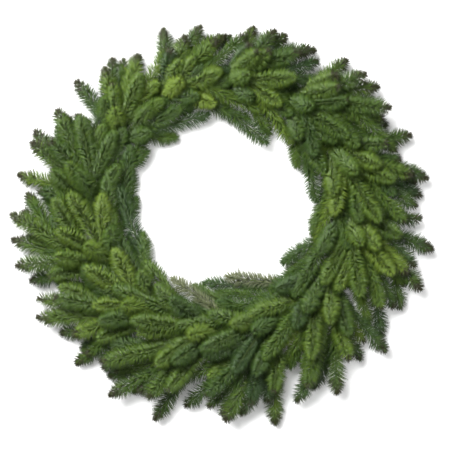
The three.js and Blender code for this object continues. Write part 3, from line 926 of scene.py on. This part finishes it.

# %% [markdown]
# Bark of young fir is a green skin with fine cracks along it. Noise that is stretched along the
# twig gives the cracks, and the same noise raises them. Buds are a dark olive brown, with painted
# shade between the scales and a painted highlight along their edges, which a sine wave along the
# bud gives.

# %% Bark and buds
BARK_TONES = [
    (0.3, (0.055, 0.075, 0.022)),
    (0.5, (0.090, 0.135, 0.034)),
    (0.72, (0.140, 0.190, 0.060)),
]
CRACKS_ACROSS_AND_ALONG = (260, 40, 1)
# the bud's brown, from painted shade between the scales to a painted highlight on their edges
BUD_TONES_AND_SHADE = [
    (0.0, (0.014, 0.014, 0.005)),
    (0.6, (0.034, 0.035, 0.012)),
    (1.0, (0.070, 0.072, 0.024)),
]
SCALE_SHADE_WAVES = 21.0  # how many radians the wave of painted shade and highlight runs over the bud

bark_finish, tree, shader = new_finish("young_bark", roughness=0.8)
place, *_ = map_parts(tree)
values = {"Vector": place, "Scale": CRACKS_ACROSS_AND_ALONG}
cracks = add_node(tree, "ShaderNodeMapping", values).outputs["Vector"]
add_noise_skin(shader, cracks, BARK_TONES, scale=1.0, detail=5, height=0.5, distance=0.0003)

bud_finish, tree, shader = new_finish("resinous_buds", roughness=0.75)
*_, along = map_parts(tree)
# painted shade between the scales and a painted highlight along their edges
scale_shade_wave = add_maths(tree, "SINE", add_maths(tree, "MULTIPLY", along, SCALE_SHADE_WAVES))
scale_shade_wave = add_maths(tree, "MULTIPLY_ADD", scale_shade_wave, 0.5, 0.5)
feed(shader, {"Base Color": add_ramp(tree, scale_shade_wave, BUD_TONES_AND_SHADE)})
print("tones of bark and buds:", len(BARK_TONES), len(BUD_TONES_AND_SHADE))

# %% [markdown]
# ## Dressing a spray
#
# The leader's wood runs from the cut end through the clamp and its bend to the tip. Side shoots
# start inside the leader, so that no gap shows at the fork.

# %% The middle lines of a spray's wood
TWIG_RADIUS = 1.5
TWIG_END_RADIUS = 0.9
LEADER_POINTS, BEND_POINTS, SIDE_POINTS = 12, 5, 7  # how many rings each is built of


def bend_line(spray, count):
    """The stem's bend, from where it leaves the clamp to the foot of the leader."""
    corner = spray.leaving + spray.place.along * (STEM_BEND / 2)
    t = np.linspace(0, 1, count)[:, None]
    return spray.leaving * (1 - t) ** 2 + corner * (2 * t * (1 - t)) + spray.leader.start * t**2


def add_wood(bm, spray):
    leader = spray.leader
    run = point_on(leader, np.linspace(0, 1, LEADER_POINTS))
    line = np.vstack([spray.butt, bend_line(spray, BEND_POINTS), run[1:]])
    radii = np.concatenate([[STEM / 2] * 2, np.linspace(STEM / 2, TWIG_END_RADIUS, len(line) - 2)])
    add_round(bm, in_frame(line), radii * MM, leader.across)
    for shoot in leader.sides + leader.fillings:
        run = point_on(shoot, np.linspace(0, 1, SIDE_POINTS))
        radii = np.linspace(TWIG_RADIUS, TWIG_END_RADIUS, len(run))
        add_round(bm, in_frame(run), radii * MM, shoot.across)


# %% [markdown]
# Where a shoot ends in the open, at the wreath's rim, its last needles are coloured dark brown and
# its buds are the largest. A tone runs from 0, bluish, to 1, yellowish: each row of sprays has its
# own, the higher rows lighter and the lower ones darker as painted light and shade, and each spray,
# shoot and needle differs a little from it.

# %% The needles of a spray
# each row has its own tone; the higher crown and shoulder rows are lighter and the low outer and inner rows
# darker, which is painted light and shade
ROW_TONES_AND_SHADE = {"outer": 0.42, "shoulder": 0.5, "crown": 0.55, "inner": 0.42}
SPRAY_SPREAD = 0.09
SHOOT_SPREAD = 0.13
YOUNG_SHARE = 0.08  # of the shoots are young
YOUNG_TONE = 0.3  # and so much lighter
FILLING_SHADE_TONE = -0.15  # painted shade: the low shoots are made darker
FILLING_NEEDLES = 0.7  # share of the needles that a shoot in the open has
BEND_NEEDLES = 0.7  # the same for the stem's bend
BROWNED_MM = 26  # how much of an end is browned right at the rim
RIM_END_REACH = 50  # the brown ends and the larger buds reach this far in from the rim
CROWDED = 1.5  # how much closer together the last needles stand
FIRST_NEEDLE = 4  # from the foot of a side shoot


def rim_nearness(shoot):
    """1 for a shoot that ends at the wreath's rim, down to 0 for one that ends further inside."""
    tip = point_on(shoot, 1.0)
    inside = rim_towards(tip[None])[0] - math.hypot(tip[0], tip[1])
    return min(1.0, max(0.0, 1 - inside / RIM_END_REACH))


def shoot_needles(shoot, first_mm, tint, share=1.0):
    """Needles from first_mm on, closer together over the last stretch, where they are short."""
    added = (CROWDED - 1) * SHORTER_OVER_MM
    count = int((shoot.length - first_mm + added) * NEEDLES_PER_MM * share)
    to_tip = np.linspace(shoot.length - first_mm + added, 0, count)
    to_tip = np.where(to_tip < CROWDED * SHORTER_OVER_MM, to_tip / CROWDED, to_tip - added)
    t = 1 - to_tip / shoot.length
    browned_mm = BROWNED_MM * rim_nearness(shoot)
    return needles_on(
        point_on(shoot, t), direction_on(shoot, t), shoot.across, to_tip, tint, browned_mm, shoot.number
    )


def bend_needles(spray, tint):
    count = int(STEM_BEND * NEEDLES_PER_MM * BEND_NEEDLES)
    line = bend_line(spray, count + 1)
    ways = unit(np.diff(line, axis=0))
    return needles_on(line[:-1], ways, spray.leader.across, np.full(count, spray.leader.length), tint)


def shoot_tint(tint, tone=0.0):
    """The tone of one shoot of a spray. A few are young and much lighter."""
    young = YOUNG_TONE if rng.random() < YOUNG_SHARE else 0.0
    return tint + tone + young + rng.normal(0, SHOOT_SPREAD)


def needle_mesh(spray):
    tint = ROW_TONES_AND_SHADE[spray.row] + rng.normal(0, SPRAY_SPREAD)
    sets = [bend_needles(spray, tint), shoot_needles(spray.leader, 0, tint)]
    for shoot in spray.leader.sides:
        sets.append(shoot_needles(shoot, FIRST_NEEDLE, shoot_tint(tint)))
    for shoot in spray.leader.fillings:
        # the low shoots get a darker tone, which is painted shade
        shaded_low_tint = shoot_tint(tint, FILLING_SHADE_TONE)
        axes, feet, strips = shoot_needles(shoot, FIRST_NEEDLE, shaded_low_tint, FILLING_NEEDLES)
        if shoot.silvery:
            strips = np.where(strips > BROWN_STRIP, SILVERY_STRIP, strips)
        sets.append((axes, feet, strips))
    axes, feet, strips = (np.concatenate(part) for part in zip(*sets))
    return copies_of(needle_pattern, axes * MM, in_frame(feet), strips, NEEDLES)


# %% The buds of a spray
BUD_LENGTH = 7.5
BUD_WIDTH = 3.8
BUD_SUNK = 0.8  # how far a bud sits back over the end of the wood
SMALLEST_BUD = 0.5  # the size of a bud on a shoot that ends far inside the rim
SIDE_BUD_SHARE = 0.62
SIDE_BUD_LEAN_DEG = 40


def buds_on(shoot):
    """A large bud at the tip and two smaller ones beside it."""
    size = SMALLEST_BUD + (1 - SMALLEST_BUD) * rim_nearness(shoot)
    tip = point_on(shoot, 1.0)
    ahead = direction_on(shoot, 1.0)
    axes, feet = [], []
    for turn, share in ((0, size), (1, size * SIDE_BUD_SHARE), (-1, size * SIDE_BUD_SHARE)):
        lean = math.radians(SIDE_BUD_LEAN_DEG) * turn
        axis = ahead * math.cos(lean) + shoot.across * math.sin(lean)
        side = unit(np.cross(shoot.lift, axis))
        wide = BUD_WIDTH * share
        axes.append(np.stack([side * wide, np.cross(axis, side) * wide, axis * BUD_LENGTH * share], -1))
        feet.append(tip - ahead * (BUD_SUNK if turn == 0 else 2 * BUD_SUNK))
    return np.array(axes), np.array(feet)


def bud_mesh(spray):
    sets = [buds_on(shoot) for shoot in shoots_of(spray)]
    axes, feet = (np.concatenate(part) for part in zip(*sets))
    strips = np.full(len(feet), BUD_STRIP)
    return copies_of(bud_pattern, axes * MM, in_frame(feet), strips, BUDS)


# %% A dressed spray in place of each solid one
def dressed(spray):
    wood = bmesh.new()
    wood.loops.layers.uv.new(MAP_NAME)
    add_wood(wood, spray)
    for face in wood.faces:
        face.material_index = BARK
    for mesh in (needle_mesh(spray), bud_mesh(spray)):
        wood.from_mesh(mesh)
        bpy.data.meshes.remove(mesh)
    whole = bpy.data.meshes.new("dressed_" + spray.name)
    wood.to_mesh(whole)
    wood.free()
    whole.shade_smooth()
    for finish in (needle_finish, bark_finish, bud_finish):
        whole.materials.append(finish)
    piece = add_object("dressed_" + spray.name, whole)
    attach(piece, "root")
    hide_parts(spray.name)
    return piece


dressed_sprays = [dressed(spray) for spray in sprays]
triangles = [sum(len(face.vertices) - 2 for face in piece.data.polygons) for piece in dressed_sprays]
print("triangles in the sprays:", sum(triangles), "largest:", max(triangles))

# %% [markdown]
# ## The ring
#
# The ring is heavy wire, bent round and welded, with a green enamel skin. Each prong is a thinner
# wire that is welded on and bent over the stems. A circle that is spun all the way round makes the
# ring, and the prongs are round rods with their corners eased.

# %% Ring and prongs
RING_STEPS = 120
WIRE_SIDES = 12
PRONG_SIDES = 8
PRONG_TIP = 0.6  # its thickness, as a share of the rest
EASING_ROUNDS = 2
CUT = 0.25  # of each straight, at both its ends, in each round


def eased(line):
    """Cuts the corners of a line again and again, until its bends are round."""
    for _ in range(EASING_ROUNDS):
        near = line[:-1] * (1 - CUT) + line[1:] * CUT
        far = line[:-1] * CUT + line[1:] * (1 - CUT)
        line = np.vstack([line[:1], np.stack([near, far], 1).reshape(-1, 3), line[-1:]])
    return line


wire = bmesh.new()
wire.loops.layers.uv.new(MAP_NAME)
on_ring = Vector(in_frame((RING_RADIUS, 0, RING_WIRE / 2)))
upright = Matrix.Translation(on_ring) @ Matrix.Rotation(math.pi / 2, 4, "X")
bmesh.ops.create_circle(wire, segments=WIRE_SIDES, radius=RING_WIRE / 2 * MM, matrix=upright)
bmesh.ops.spin(
    wire, geom=list(wire.verts) + list(wire.edges), cent=Vector(ring_middle), axis=(0, 0, 1),
    angle=2 * math.pi, steps=RING_STEPS, use_merge=True,
)
bmesh.ops.recalc_face_normals(wire, faces=wire.faces)
for line in prong_lines:
    bend = in_frame(eased(line))
    radii = np.full(len(bend), PRONG_WIRE / 2 * MM)
    radii[-1] *= PRONG_TIP
    add_round(wire, bend, radii, line[-1] - line[0], sides=PRONG_SIDES)
wire.loops.layers.uv.remove(wire.loops.layers.uv[MAP_NAME])  # the enamel needs no map
ring_mesh = bpy.data.meshes.new("dressed_clamp_ring")
wire.to_mesh(ring_mesh)
wire.free()
ring_mesh.shade_smooth()
ring_piece = add_object("dressed_clamp_ring", ring_mesh)
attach(ring_piece, "root")
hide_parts("clamp_ring")
print("faces of the ring:", len(ring_mesh.polygons))

# %% [markdown]
# Enamel is smooth and a little uneven where it ran while it dried, and it is worn to dull metal
# in small spots.

# %% Enamelled wire
ENAMEL_TONES = [  # the last is bare metal
    (0.25, (0.012, 0.035, 0.016)),
    (0.6, (0.024, 0.070, 0.030)),
    (0.74, (0.030, 0.082, 0.036)),
    (0.78, (0.11, 0.11, 0.10)),
]

wire_finish, tree, shader = new_finish("green_enamel", roughness=0.35)
spot = add_node(tree, "ShaderNodeTexCoord", {}).outputs["Object"]
add_noise_skin(shader, spot, ENAMEL_TONES, scale=160, detail=4, height=0.25, distance=0.0002)
ring_mesh.materials.append(wire_finish)
print("enamel tones:", len(ENAMEL_TONES))

# %% [markdown]
# ## Floor and light
#
# A plain pale floor under a large soft light and a pale sky. The light stands a little to the top
# left, so that every shoot has a lighter and a darker side. The floor glows a little, which is
# painted light that keeps the shadow on it faint.

# %% Floor
FLOOR_SIZE = 12
# painted light: the floor glows, though it is no lamp
FLOOR_GLOW = 0.16
floor_shape = bmesh.new()
bmesh.ops.create_grid(floor_shape, x_segments=1, y_segments=1, size=FLOOR_SIZE / 2)
floor_mesh = bpy.data.meshes.new("pale_floor")
floor_shape.to_mesh(floor_mesh)
floor_shape.free()
floor = add_object("pale_floor", floor_mesh)
floor_finish, _, shader = new_finish("pale_floor", roughness=0.9)
feed(shader, {"Base Color": (0.9, 0.9, 0.9, 1), "Emission Color": (1, 1, 1, 1)})
feed(shader, {"Emission Strength": FLOOR_GLOW})
floor_mesh.materials.append(floor_finish)
print("floor:", floor.name)

# %% Light
SKY_STRENGTH = 0.21
GAMMA = 0.93  # below 1, the middle tones are a little deeper


def add_soft_light(name, spot, size, power):
    light = bpy.data.lights.new(name, "AREA")
    light.shape = "DISK"
    light.size = size
    light.energy = power
    lamp = add_object(name, light)
    lamp.location = spot
    lamp.rotation_euler = (-Vector(spot)).to_track_quat("-Z", "Y").to_euler()


add_soft_light("large_soft_light", spot=(-0.55, 0.65, 2.0), size=1.0, power=93)
add_soft_light("fill_light", spot=(0.9, -0.7, 1.8), size=1.4, power=12)
sky = bpy.data.worlds.new("pale_sky")
sky.use_nodes = True
feed(sky.node_tree.nodes["Background"], {"Color": (1, 1, 1, 1), "Strength": SKY_STRENGTH})
bpy.context.scene.world = sky
bpy.context.scene.view_settings.view_transform = "Standard"
bpy.context.scene.view_settings.gamma = GAMMA
print("lights:", len(bpy.data.lights))
